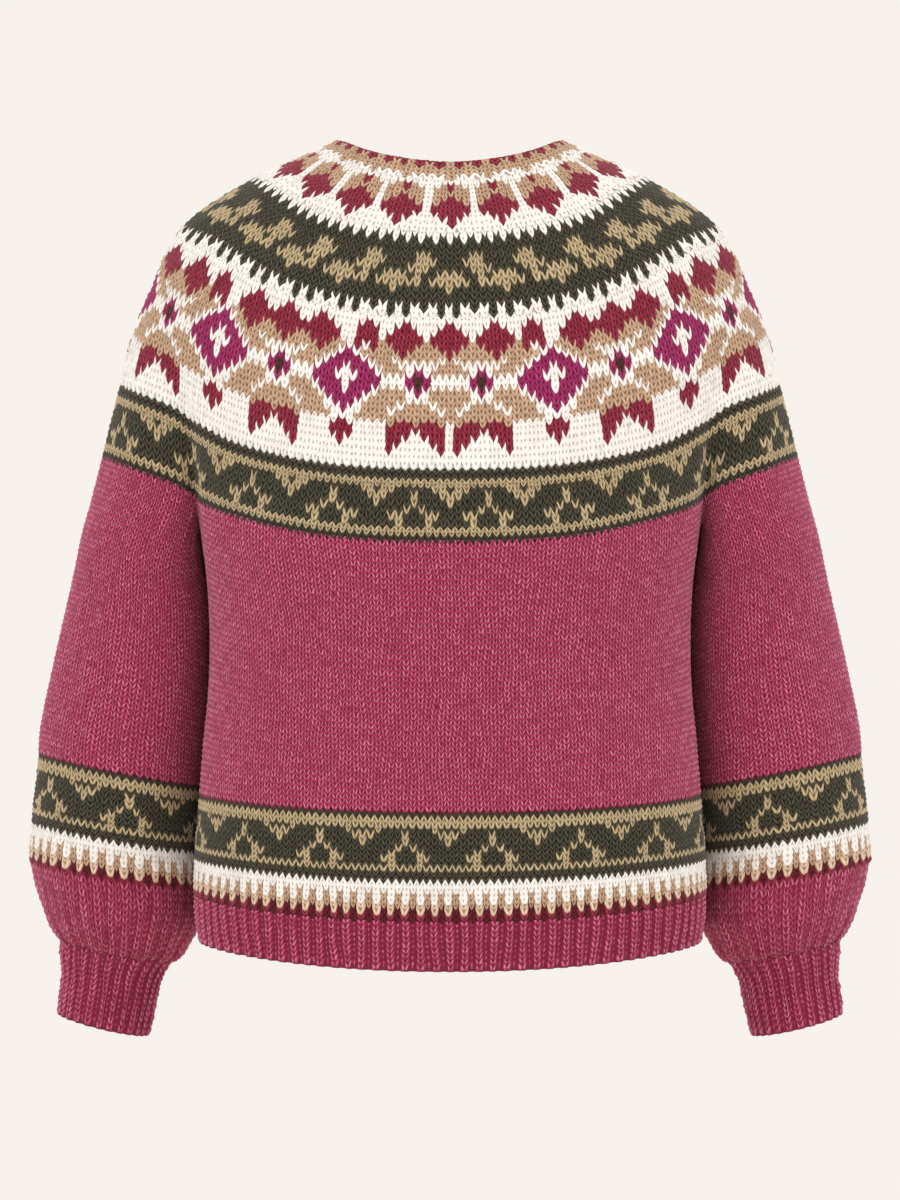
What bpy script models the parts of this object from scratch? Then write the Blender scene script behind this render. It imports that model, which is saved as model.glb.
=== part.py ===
"""Fair isle yoke sweater, filled out as if worn, with balloon sleeves and ribbed hem and cuffs.

The back of the sweater faces -Y, the front +Y, and +Z is up. The origin lies in the middle of the
neck opening, level with the neck's highest points. Run with: blender --background --python part.py
"""

import math

import bmesh
import bpy
from mathutils import Vector

MM = 0.001  # every size below is in millimetres

# Cloth
CLOTH = 3.0  # wall of the stranded knitting
SEAM_GAP = 0.3  # clear space where two knitted pieces meet
UNDERARM_SAG = 21.0  # how far the underarm hangs below its ends at the two creases
UNDERARM_ROUND = 0.8  # how full its curve is: 1 is a sine, less is rounder
SHARPEST = 0.4  # least share of a full turn that a seam's corner is set back by

# Ribbing
HEM_RIBS = 96
CUFF_RIBS = 26
RIB_RISE = 1.4

# Gathers of the balloon sleeve into its cuff
GATHERS = 12
GATHER_RISE = 2.2
GATHER_HIGH = 545.0  # below the neck: gathers fade out above this
GATHER_LOW = 596.0  # and are fullest here

# Stations along half of each ring
BACK_STEPS = 11  # centre back to the crease behind the arm
SLEEVE_STEPS = 28  # crease behind the arm, over the arm, to the crease in front
FRONT_STEPS = 10  # crease in front of the arm to centre front
GUSSET_STEPS = 8  # under the arm
DENSE = 24  # points between two stations before a ring is measured and divided
FINE = 360  # steps along half a body ring or round a cuff before it is divided

# Yoke rings from the neck down. Each place is (out from the centre, forward, up); the front half
# of a ring mirrors the back half about its side point and is stretched to (forward, up) in front.
#   back, blade, flank, corner, crease, tuck, arm, side, front
YOKE_RINGS = (
    ((0, -62, -23), (36, -56, -19), (61, -43, -12), (71, -31, -7), (77, -22, -4), (81, -14, -2),
     (83, -5, -0.5), (84, 4, 0), (92, -62)),
    ((0, -100, -86), (60, -92, -80), (98, -75, -68), (117, -60, -57), (131, -44, -46), (139, -32, -40),
     (146, -16, -34), (150, 5, -30), (115, -126)),
    ((0, -112, -134), (72, -104, -128), (122, -83, -112), (151, -62, -95), (173, -40, -80),
     (185, -27, -74), (196, -11, -69), (201, 7, -65), (126, -170)),
    ((0, -122, -191), (78, -113, -186), (144, -87, -169), (180, -65, -152), (203, -43, -138),
     (212, -31, -130), (221, -13, -121), (226, 8, -114), (133, -223)),
    ((0, -126, -222), (84, -117, -217), (148, -88, -201), (181, -65, -186), (199, -50, -175),
     (211, -42, -167), (230, -23, -158), (240, 9, -150), (135, -251)),
    ((0, -128, -251), (90, -116, -246), (154, -83, -231), (182, -61, -217), (193, -48, -210),
     (205, -45, -202), (232, -32, -191), (248, 11, -183), (136, -279)),
    ((0, -129, -305), (93, -117, -300), (158, -79, -285), (181, -51, -276), (188, -30, -270),
     (199, -39, -263), (236, -36, -249), (262, 14, -239), (135, -327)),
)
YOKE_ROWS = (3, 2, 2, 1, 1, 2)  # rows of points from each yoke ring to the next
CREASE = 4  # which place of a yoke ring lies in the crease behind the arm
FRONT_FALL = 1.5  # how late the front of a yoke ring falls below its back: 1 is evenly

# Body rings: height of the side, half width, then the back's and the front's depth, drop below the
# side and squareness
BODY_RINGS = (
    (-302, 184.0, (-129.5, 13, 2.3), (135, 36, 2.9)),
    (-330, 180.5, (-129.0, 11, 2.25), (134, 27, 2.7)),
    (-371, 178.5, (-128.0, 9, 2.2), (131, 19, 2.5)),
    (-411, 179.5, (-127.5, 8, 2.2), (129, 14, 2.4)),
    (-452, 183.5, (-127.5, 7, 2.2), (128, 11, 2.3)),
    (-490, 186.5, (-128.0, 8, 2.2), (128, 10, 2.2)),
    (-535, 190.0, (-129.5, 9, 2.1), (130, 10, 2.1)),
    (-566, 189.5, (-129.0, 11, 2.1), (130, 11, 2.1)),
)
HEM_RINGS = (
    (-566, 189.5, (-129.0, 11, 2.1), (130, 11, 2.1)),
    (-584, 188.0, (-128.0, 11.5, 2.1), (129, 11.5, 2.1)),
    (-599, 185.5, (-127.0, 12, 2.1), (128, 12, 2.1)),
)
SIDE_FORWARD = -12.0  # where the body is widest, just behind the arms
BODY_ROWS = (1, 2, 1, 1, 1, 2, 1)
SIDE_SHARE = (0.432, 0.606)  # where the underarm starts and ends along half a body ring

# Sleeve rings: centre out, forward and up, half width, half depth, tilt in degrees down to the body
SLEEVE_RINGS = (
    (233, 18, -314, 47.5, 60, 19),
    (235, 28, -355, 54.0, 64, 15),
    (240, 36, -405, 61.0, 67, 13),
    (247, 43, -455, 65.0, 69, 12),
    (249, 47, -484, 65.5, 70, 11),
    (252.5, 51, -520, 66.5, 71, 10),
    (253.5, 54, -548, 67.0, 70, 9),
    (252.5, 56, -572, 64.5, 67, 9),
    (253, 57, -590, 57.0, 60, 10),
    (253, 57, -603, 47.5, 50, 11),
    (254, 57, -611, 41.5, 43, 12),
)
CUFF_RINGS = (
    (254, 57, -611, 41.5, 43, 12),
    (258, 57, -625, 37.5, 38, 12),
    (260, 57, -638, 36.0, 36, 12),
    (263, 57, -655, 35.5, 35, 13),
    (265.5, 57, -669, 34.5, 34, 14),
)
SLEEVE_ROWS = (1, 1, 1, 1, 1, 1, 1, 2, 1, 1)
GUSSET_ANGLES = (-130.0, 144.0)  # of the two creases round a sleeve ring, from its outermost point

# Rows between a seam and the first ring below it, as shares of the way
SEAM_ROWS = (0.12, 0.35, 0.65)

# Colours: red, green, blue as the eye reads them, and how matt the wool is
RASPBERRY = (0.67, 0.24, 0.38)
OLIVE = (0.26, 0.24, 0.18)
WOOL_ROUGHNESS = 0.9


def mirrored(points):
    """The same points on the other side of the sweater."""
    return [Vector((-p.x, p.y, p.z)) for p in points]


def curve_point(before, start, end, after, share):
    """A point between start and end on a smooth curve that also passes its two neighbours."""
    knots = [0.0]
    for a, b in ((before, start), (start, end), (end, after)):
        knots.append(knots[-1] + max((b - a).length, 1e-6) ** 0.5)
    t = knots[1] + (knots[2] - knots[1]) * share

    def blend(p, q, low, high):
        return p * ((high - t) / (high - low)) + q * ((t - low) / (high - low))

    first = blend(before, start, knots[0], knots[1])
    middle = blend(start, end, knots[1], knots[2])
    last = blend(end, after, knots[2], knots[3])
    return blend(blend(first, middle, knots[0], knots[2]), blend(middle, last, knots[1], knots[3]),
                 knots[1], knots[2])


def smooth_rows(sections, steps):
    """Rows of points on smooth lines down through the sections, with steps rows to each next one."""
    rows = []
    for i, count in enumerate(steps):
        start, end = sections[i], sections[i + 1]
        before = sections[i - 1] if i else [2 * p - q for p, q in zip(start, end)]
        after = sections[i + 2] if i + 2 < len(sections) else [2 * q - p for p, q in zip(start, end)]
        for step in range(count):
            rows.append([curve_point(a, b, c, d, step / count)
                         for a, b, c, d in zip(before, start, end, after)])
    rows.append(list(sections[-1]))
    return rows


def smooth_half(stations):
    """A dense line through the stations of half a ring, level where it crosses the middle plane."""
    around = mirrored(stations[1:2]) + list(stations) + mirrored(stations[-2:-1])
    spans = []
    for i in range(1, len(around) - 2):
        spans.append([curve_point(*around[i - 1:i + 3], k / DENSE) for k in range(DENSE)] + [around[i + 1]])
    return spans


def divided(line, count):
    """count + 1 points at even lengths along a line of points."""
    lengths = [0.0]
    for a, b in zip(line, line[1:]):
        lengths.append(lengths[-1] + (b - a).length)
    points = []
    k = 0
    for step in range(count + 1):
        target = lengths[-1] * step / count
        while k < len(lengths) - 2 and lengths[k + 1] < target:
            k += 1
        share = (target - lengths[k]) / max(lengths[k + 1] - lengths[k], 1e-9)
        points.append(line[k].lerp(line[k + 1], share))
    return points


def yoke_stations(ring):
    """The stations of half a yoke ring: the back ones as given, then the front ones mirrored."""
    *back, front = ring
    back = [Vector((-out, forward, up)) for out, forward, up in back]
    side = back[-1]
    fullness = (front[0] - side.y) / (side.y - back[0].y)
    stations = list(back)
    for place in reversed(back[:-1]):
        reach = (side.y - place.y) / (side.y - back[0].y)
        drop = (front[1] - back[0].z) * max(reach, 0.0) ** FRONT_FALL
        stations.append(Vector((place.x, side.y + (side.y - place.y) * fullness, place.z + drop)))
    return stations


def yoke_halves():
    """Rows of the yoke's half rings, each as its back, sleeve and front parts."""
    sections = [yoke_stations(ring) for ring in YOKE_RINGS]
    crease_front = len(sections[0]) - 1 - CREASE
    halves = []
    for stations in smooth_rows(sections, YOKE_ROWS):
        spans = smooth_half(stations)
        parts = []
        for first, last, steps in ((0, CREASE, BACK_STEPS), (CREASE, crease_front, SLEEVE_STEPS),
                                   (crease_front, len(spans), FRONT_STEPS)):
            line = [p for span in spans[first:last] for p in span[:-1]] + [spans[last - 1][-1]]
            parts.append(divided(line, steps))
        halves.append(parts)
    return halves


def underarm(start, end):
    """The line under the arm from the crease behind it to the crease in front."""
    points = []
    for step in range(GUSSET_STEPS + 1):
        share = step / GUSSET_STEPS
        point = start.lerp(end, share)
        point.z -= UNDERARM_SAG * math.sin(math.pi * share) ** UNDERARM_ROUND
        points.append(point)
    return points


def whole_ring(half):
    """A closed ring from its half, which runs from centre back round the left side to centre front."""
    return list(half) + mirrored(reversed(half[1:-1]))


def body_point(ring, angle):
    """A point of a body ring: angle 0 is centre back, a half turn is centre front."""
    side_up, half_width, back, front = ring
    across, along = math.sin(angle), -math.cos(angle)
    end, drop, squareness = back if along < 0 else front
    power = 2.0 / squareness
    return Vector((-half_width * abs(across) ** power,
                   SIDE_FORWARD + (end - SIDE_FORWARD) * abs(along) ** power,
                   side_up - drop * abs(along) ** (2 * power)))


def body_line(ring):
    """Half a body ring as a fine line of points at even lengths."""
    return divided([body_point(ring, math.pi * k / FINE) for k in range(FINE + 1)], FINE)


def body_half(ring):
    """Half a body ring, divided into the steps of its back, underarm and front."""
    even = body_line(ring)
    cuts = [0, *(round(FINE * share) for share in SIDE_SHARE), FINE]
    half = []
    for first, last, count in zip(cuts, cuts[1:], (BACK_STEPS, GUSSET_STEPS, FRONT_STEPS)):
        part = divided(even[first:last + 1], count)
        half += part[:-1]
    return half + [even[-1]]


def sleeve_ring(ring, over=SLEEVE_STEPS, under=GUSSET_STEPS, gather=True):
    """A sleeve ring from the crease behind the arm, over the outside and back under the arm."""
    out, forward, up, half_width, half_depth, tilt = ring
    lean = math.radians(tilt)
    outward = Vector((-math.cos(lean), 0, math.sin(lean)))
    start, end = (math.radians(a) for a in GUSSET_ANGLES)
    angles = [start + (end - start) * k / over for k in range(over)]
    angles += [end + (2 * math.pi + start - end) * k / under for k in range(under)]
    fade = min(max((-up - GATHER_HIGH) / (GATHER_LOW - GATHER_HIGH), 0.0), 1.0) if gather else 0.0
    points = []
    for k, angle in enumerate(angles):
        swell = GATHER_RISE * fade * math.cos(2 * math.pi * GATHERS * k / len(angles))
        points.append(Vector((-out, forward, up)) + outward * (half_width + swell) * math.cos(angle)
                      + Vector((0, 1, 0)) * (half_depth + swell) * math.sin(angle))
    return points


def seam_rows(above, seam, rings):
    """Rows from a seam to the first ring below it, on smooth lines that also pass the row above."""
    return [list(seam)] + [[curve_point(*points, share) for points in zip(above, seam, *rings[:2])]
                           for share in SEAM_ROWS]


def normals_of(rows):
    """Outward directions at the points of closed rings that run clockwise, seen from above."""
    found = []
    for r, row in enumerate(rows):
        above, below = rows[max(r - 1, 0)], rows[min(r + 1, len(rows) - 1)]
        facing = []
        for k, point in enumerate(row):
            along = (row[(k + 1) % len(row)] - point).normalized() + (point - row[k - 1]).normalized()
            facing.append(along.cross(below[k] - above[k]).normalized())
        found.append(facing)
    return found


def pulled_back(rows, normals, at_end=False):
    """The rows with their seam row set back by half the seam's gap, along the cloth."""
    seam, nearest = (rows[-1], rows[-2]) if at_end else (rows[0], rows[1])
    facing = normals[-1] if at_end else normals[0]
    inward = []
    for k, point in enumerate(seam):
        j = (k + 1) % len(seam)
        across = (facing[k] + facing[j]).cross(seam[j] - point).normalized()
        if across.dot(nearest[k] + nearest[j] - point - seam[j]) < 0:
            across.negate()
        inward.append(across)
    moved = []
    for k, point in enumerate(seam):
        both = inward[k - 1] + inward[k]
        moved.append(point + both * (SEAM_GAP / 2) / max(1 + inward[k - 1].dot(inward[k]), SHARPEST))
    return rows[:-1] + [moved] if at_end else [moved] + rows[1:]


def inner_rows(rows, normals):
    """The inside of a wall of cloth whose outside is given."""
    return [[p - n * CLOTH for p, n in zip(row, facing)] for row, facing in zip(rows, normals)]


def ribbed(rows, normals):
    """The outside of ribbing: every second point of each row stands out as a rib."""
    return [[p + n * RIB_RISE * (k % 2) for k, (p, n) in enumerate(zip(row, facing))]
            for row, facing in zip(rows, normals)]


def add_wall(name, outside, inside, colour, other_side=False):
    """One closed wall of cloth as an object, from the rings of its outside and its inside."""
    mesh = bmesh.new()
    outer, inner = ([[mesh.verts.new(p * MM) for p in row] for row in rows] for rows in (outside, inside))
    around = len(outside[0])
    for k in range(around):
        j = (k + 1) % around
        for grid in (outer, inner):
            for row, below in zip(grid, grid[1:]):
                mesh.faces.new((row[k], row[j], below[j], below[k]))
        # The rims of two walls that meet at a seam are split along the same diagonals.
        first, second = (j, k) if other_side else (k, j)
        for edge, lining in ((outer[0], inner[0]), (outer[-1], inner[-1])):
            mesh.faces.new((edge[first], edge[second], lining[second]))
            mesh.faces.new((edge[first], lining[second], lining[first]))
    bmesh.ops.recalc_face_normals(mesh, faces=mesh.faces)
    data = bpy.data.meshes.new(name)
    mesh.to_mesh(data)
    mesh.free()
    piece = bpy.data.objects.new(name, data)
    wool = bpy.data.materials.new(name + "_wool")
    wool.use_nodes = True
    shader = wool.node_tree.nodes["Principled BSDF"]
    shader.inputs["Base Color"].default_value = (*(c ** 2.2 for c in colour), 1.0)
    shader.inputs["Roughness"].default_value = WOOL_ROUGHNESS
    shader.inputs["Metallic"].default_value = 0.0
    data.materials.append(wool)
    bpy.data.collections["fair_isle_yoke_sweater"].objects.link(piece)
    return piece


def clear_scene():
    """Removes what the scene starts with and makes the sweater's collection."""
    for thing in list(bpy.data.objects):
        bpy.data.objects.remove(thing)
    collection = bpy.data.collections.new("fair_isle_yoke_sweater")
    bpy.context.scene.collection.children.link(collection)


def yoke_rows(halves):
    """Closed rings of the yoke from its half rings."""
    return [whole_ring(back[:-1] + sleeve[:-1] + front) for back, sleeve, front in halves]


def underarm_normals(line, start, end):
    """Outward directions along the underarm, which join the two creases' own directions."""
    found = []
    for k, point in enumerate(line):
        along = line[min(k + 1, len(line) - 1)] - line[max(k - 1, 0)]
        down = Vector((0, along.z, -along.y)).normalized()
        crease = start if k < len(line) / 2 else end
        share = min(k, len(line) - 1 - k) / (len(line) / 4)
        found.append(crease.lerp(down, min(share, 1.0)).normalized())
    return found


def make_yoke(halves):
    """The patterned round yoke, from the neck edge to the seam with body and sleeves."""
    rows = yoke_rows(halves)
    normals = normals_of(rows)
    for crease in (BACK_STEPS, BACK_STEPS + SLEEVE_STEPS):
        for k in (crease, -crease):
            normals[-1][k].x = 0.0
            normals[-1][k].normalize()
    outside = pulled_back(rows, normals, at_end=True)
    add_wall("yoke", outside, inner_rows(outside, normals), OLIVE)
    return normals[-1]


def underarm_rings(halves):
    """The seam rings of the body and of the left sleeve, the rings below, and the line under the arm."""
    back, sleeve, front = halves[-1]
    line = underarm(back[-1], front[0])
    body = [body_half(ring) for ring in BODY_RINGS]
    arm = [sleeve_ring(ring) for ring in SLEEVE_RINGS[:-1]] + [sleeve_ring(SLEEVE_RINGS[-1], gather=False)]
    return line, back[:-1] + line[:-1] + front, sleeve[:-1] + line[:0:-1], body, arm


def make_body(halves, seam_normals):
    """The body tube from the yoke and the underarms down to the hem's ribbing."""
    line, seam, _, body, arm = underarm_rings(halves)
    back, _, front = halves[-2]
    under = arm[0][SLEEVE_STEPS:] + arm[0][:1]
    above = back + under[-2:0:-1] + front
    rings = [whole_ring(half) for half in body]
    rows = seam_rows(whole_ring(above), whole_ring(seam), rings) + smooth_rows(rings, BODY_ROWS)
    normals = normals_of(rows)
    start, end = BACK_STEPS, BACK_STEPS + SLEEVE_STEPS
    half = seam_normals[:start] + underarm_normals(line, seam_normals[start], seam_normals[end])[:-1]
    normals[0] = whole_ring(half + seam_normals[end:end + FRONT_STEPS + 1])
    outside = pulled_back(pulled_back(rows, normals), normals, at_end=True)
    add_wall("body", outside, inner_rows(outside, normals), RASPBERRY)


def make_sleeves(halves, seam_normals):
    """Both balloon sleeves, from the yoke and the underarm down to the cuffs."""
    line, _, seam, body, rings = underarm_rings(halves)
    under = body[0][BACK_STEPS:BACK_STEPS + GUSSET_STEPS + 1]
    above = halves[-2][1] + under[-2:0:-1]
    rows = seam_rows(above, seam, rings) + smooth_rows(rings, SLEEVE_ROWS)
    normals = normals_of(rows)
    start, end = BACK_STEPS, BACK_STEPS + SLEEVE_STEPS
    normals[0] = seam_normals[start:end] + underarm_normals(line, seam_normals[start], seam_normals[end])[:0:-1]
    outside = pulled_back(pulled_back(rows, normals), normals, at_end=True)
    inside = inner_rows(outside, normals)
    add_wall("sleeve_left", outside, inside, RASPBERRY)
    add_wall("sleeve_right", [mirrored(row) for row in outside], [mirrored(row) for row in inside],
             RASPBERRY, other_side=True)


def make_hem():
    """The ribbed hem."""
    rows = [whole_ring(divided(body_line(ring), HEM_RIBS)) for ring in HEM_RINGS]
    normals = normals_of(rows)
    rows = pulled_back(rows, normals)
    add_wall("hem_rib", ribbed(rows, normals), inner_rows(rows, normals), RASPBERRY)


def make_cuffs():
    """Both ribbed cuffs."""
    rows = []
    for ring in CUFF_RINGS:
        points = sleeve_ring(ring, over=3 * FINE // 4, under=FINE // 4, gather=False)
        rows.append(divided(points + points[:1], 2 * CUFF_RIBS)[:-1])
    normals = normals_of(rows)
    rows = pulled_back(rows, normals)
    outside = ribbed(rows, normals)
    inside = inner_rows(rows, normals)
    add_wall("cuff_left", outside, inside, RASPBERRY)
    add_wall("cuff_right", [mirrored(row) for row in outside], [mirrored(row) for row in inside],
             RASPBERRY, other_side=True)


def main():
    """Makes the whole sweater."""
    clear_scene()
    halves = yoke_halves()
    seam_normals = make_yoke(halves)
    make_body(halves, seam_normals)
    make_sleeves(halves, seam_normals)
    make_hem()
    make_cuffs()


main()
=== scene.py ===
"""Fair isle yoke sweater: its knitting, stitch by stitch, over the sweater's own frame.

The back faces -Y, the front +Y, and +Z is up. Sizes are in millimetres until points go into a mesh.
"""

import logging
import math
from dataclasses import dataclass, field
from enum import Enum

import bpy
import numpy as np
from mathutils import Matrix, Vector


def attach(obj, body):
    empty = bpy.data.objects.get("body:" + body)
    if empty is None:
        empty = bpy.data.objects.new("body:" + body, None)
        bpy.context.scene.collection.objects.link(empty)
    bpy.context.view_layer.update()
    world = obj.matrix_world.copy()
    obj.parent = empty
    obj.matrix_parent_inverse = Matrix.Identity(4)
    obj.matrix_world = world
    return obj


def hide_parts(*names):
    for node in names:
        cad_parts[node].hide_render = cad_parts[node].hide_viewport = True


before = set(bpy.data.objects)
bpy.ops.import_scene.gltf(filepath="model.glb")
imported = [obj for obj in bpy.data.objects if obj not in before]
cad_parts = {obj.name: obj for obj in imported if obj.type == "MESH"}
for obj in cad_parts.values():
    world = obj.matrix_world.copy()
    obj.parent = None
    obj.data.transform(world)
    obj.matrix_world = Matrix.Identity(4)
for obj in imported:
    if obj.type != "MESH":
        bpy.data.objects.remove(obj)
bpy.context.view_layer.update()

LOG = logging.getLogger("sweater")

MM = 0.001
EYE_AWAY = 2800.0  # from the middle of the sweater to the eye that the levels are read from
EYE_UP = -344.6
STEP = 0.75  # millimetres to one step of a level
LEVEL_MIDDLE = 600.0  # the level that lies at the height of the eye

# Yoke rings from the neck down: (out, forward, up) at the centre back, blade, flank, corner, crease,
# tuck, arm and side, then (forward, up) at the centre front.
YOKE_RINGS = (
    ((0, -62, -23), (36, -56, -19), (61, -43, -12), (71, -31, -7), (77, -22, -4), (81, -14, -2),
     (83, -5, -0.5), (84, 4, 0), (92, -62)),
    ((0, -100, -86), (60, -92, -80), (98, -75, -68), (117, -60, -57), (131, -44, -46), (139, -32, -40),
     (146, -16, -34), (150, 5, -30), (115, -126)),
    ((0, -112, -134), (72, -104, -128), (122, -83, -112), (151, -62, -95), (173, -40, -80),
     (185, -27, -74), (196, -11, -69), (201, 7, -65), (126, -170)),
    ((0, -122, -191), (78, -113, -186), (144, -87, -169), (180, -65, -152), (203, -43, -138),
     (212, -31, -130), (221, -13, -121), (226, 8, -114), (133, -223)),
    ((0, -126, -222), (84, -117, -217), (148, -88, -201), (181, -65, -186), (199, -50, -175),
     (211, -42, -167), (230, -23, -158), (240, 9, -150), (135, -251)),
    ((0, -128, -251), (90, -116, -246), (154, -83, -231), (182, -61, -217), (193, -48, -210),
     (205, -45, -202), (232, -32, -191), (248, 11, -183), (136, -279)),
    ((0, -129, -305), (93, -117, -300), (158, -79, -285), (181, -51, -276), (188, -30, -270),
     (199, -39, -263), (236, -36, -249), (262, 14, -239), (135, -327)),
)
YOKE_FINE = (36, 24, 28, 14, 14, 26)  # rows from each yoke ring to the next
YOKE_BETWEEN = 24  # stations from each point of a yoke ring to the next
YOKE_HALF = 480  # even stations round half of the yoke
CREASE = 4  # the point of a yoke ring where the body and the arm part
FRONT_FALL = 1.5  # how late the front falls to its lower neck, where 1 is evenly

# Body rings: height of the side, half width, then the back's and front's depth, drop and squareness
BODY_RINGS = (
    (-302, 184.0, (-129.5, 13, 2.3), (135, 36, 2.9)),
    (-330, 180.5, (-129.0, 11, 2.25), (134, 27, 2.7)),
    (-371, 178.5, (-128.0, 9, 2.2), (131, 19, 2.5)),
    (-411, 179.5, (-127.5, 8, 2.2), (129, 14, 2.4)),
    (-452, 183.5, (-127.5, 7, 2.2), (128, 11, 2.3)),
    (-490, 186.5, (-128.0, 8, 2.2), (128, 10, 2.2)),
    (-535, 190.0, (-129.5, 9, 2.1), (130, 10, 2.1)),
    (-566, 189.5, (-129.0, 11, 2.1), (130, 11, 2.1)),
    (-584, 188.0, (-128.0, 11.5, 2.1), (129, 11.5, 2.1)),
    (-599, 185.5, (-127.0, 12, 2.1), (128, 12, 2.1)),
)
BODY_FINE = (14, 20, 20, 20, 19, 22, 16, 10, 9)
SEAM_FINE = 10  # rows from the yoke's seam to the first body or sleeve ring
SEAM_REACH = 3.6  # how far the cloth below the yoke's seam reaches up under the yoke
SIDE_FORWARD = -12.0  # how far forward the body's sides lie
SIDE_SHARE = (0.432, 0.606)  # where the underarm starts and ends along half a body ring
UNDERARM_SAG = 21.0  # how far the underarm's seam hangs below the creases
UNDERARM_ROUND = 0.8  # how round it hangs, where 1 is a sine
BODY_HALF = 720  # fine stations of half a body ring, before it is divided
BODY_PARTS = (104, 42, 94)  # stations of the back, underarm and front of half a body ring

# Sleeve rings: centre out, forward and up, half width, half depth, tilt in degrees down to the body
SLEEVE_RINGS = (
    (233, 18, -314, 47.5, 60, 19), (235, 28, -355, 54.0, 64, 15), (240, 36, -405, 61.0, 67, 13),
    (247, 43, -455, 65.0, 69, 12), (249, 47, -484, 65.5, 70, 11), (252.5, 51, -520, 66.5, 71, 10),
    (253.5, 54, -548, 67.0, 70, 9), (252.5, 56, -572, 64.5, 67, 9), (253, 57, -590, 57.0, 60, 10),
    (253, 57, -603, 47.5, 50, 11), (254, 57, -611, 41.5, 43, 12),
)
SLEEVE_FINE = (20, 24, 24, 14, 18, 14, 12, 10, 8, 6)
CUFF_RINGS = (
    (254, 57, -611, 41.5, 43, 12), (258, 57, -625, 37.5, 38, 12), (260, 57, -638, 36.0, 36, 12),
    (263, 57, -655, 35.5, 35, 13), (265.5, 57, -669, 34.5, 34, 14),
)
CUFF_FINE = (8, 8, 10, 8)
GUSSET_ANGLES = (-130.0, 144.0)  # where a sleeve ring's creases behind and before the arm lie
SLEEVE_PARTS = (162, 54)  # stations over the arm and under it


# ---------------------------------------------------------------------------------------- surfaces


def curve_points(before: np.ndarray, start: np.ndarray, end: np.ndarray, after: np.ndarray,
                 share: float) -> np.ndarray:
    """Points between start and end on smooth curves that also pass their neighbours.

    Args:
        before: the points before start, (..., 3).
        start: where each curve's span starts.
        end: where it ends.
        after: the points after end.
        share: how far along the span, 0 to 1.

    Returns:
        The points, (..., 3).
    """
    def gap(a: np.ndarray, b: np.ndarray) -> np.ndarray:
        """The root of the distance between points."""
        return np.sqrt(np.maximum(np.linalg.norm(b - a, axis=-1, keepdims=True), 1e-6))

    k1 = gap(before, start)
    k2 = k1 + gap(start, end)
    k3 = k2 + gap(end, after)
    t = k1 + (k2 - k1) * share

    def blend(p: np.ndarray, q: np.ndarray, low: np.ndarray, high: np.ndarray) -> np.ndarray:
        """The mix of p and q by where t lies from low to high."""
        return p * ((high - t) / (high - low)) + q * ((t - low) / (high - low))

    first = blend(before, start, k1 * 0, k1)
    middle = blend(start, end, k1, k2)
    last = blend(end, after, k2, k3)
    return blend(blend(first, middle, k1 * 0, k2), blend(middle, last, k1, k3), k1, k2)


def smooth_rows(sections: np.ndarray, steps: tuple[int, ...]) -> np.ndarray:
    """Rows of points on smooth lines down through the sections.

    Args:
        sections: (sections, stations, 3).
        steps: how many rows from each section to the next.

    Returns:
        (rows, stations, 3), the sections among them.
    """
    rows = []
    for i, count in enumerate(steps):
        start, end = sections[i], sections[i + 1]
        before = sections[i - 1] if i else 2 * start - end
        after = sections[i + 2] if i + 2 < len(sections) else 2 * end - start
        rows += [curve_points(before, start, end, after, step / count) for step in range(count)]
    rows.append(sections[-1])
    return np.array(rows)


def mirrored(points: np.ndarray) -> np.ndarray:
    """The same points on the other side of the sweater."""
    return points * np.array([-1.0, 1.0, 1.0])


def divided(line: np.ndarray, shares: np.ndarray) -> np.ndarray:
    """Points at these shares of a line's length.

    Args:
        line: (points, 3).
        shares: from 0 to 1.

    Returns:
        (shares, 3).
    """
    lengths = np.concatenate([[0.0], np.cumsum(np.linalg.norm(np.diff(line, axis=0), axis=1))])
    return np.stack([np.interp(shares * lengths[-1], lengths, line[:, i]) for i in range(3)], 1)


def joined(lines: tuple[np.ndarray, ...], counts: tuple[int, ...], ended: bool) -> np.ndarray:
    """Lines laid end to end, each divided into even steps.

    Args:
        lines: the lines, each (points, 3).
        counts: how many steps each has.
        ended: whether the last line's end is kept.

    Returns:
        (steps, 3), and one point more where the end is kept.
    """
    parts = [divided(line, np.linspace(0, 1, count + 1)) for line, count in zip(lines, counts)]
    return np.concatenate([part[:-1] for part in parts[:-1]] + [parts[-1] if ended else parts[-1][:-1]])


def whole_ring(half: np.ndarray) -> np.ndarray:
    """Closed rings from half rings that run from centre back round the -X side to centre front."""
    return np.concatenate([half, mirrored(half[..., -2:0:-1, :])], axis=-2)


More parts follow.
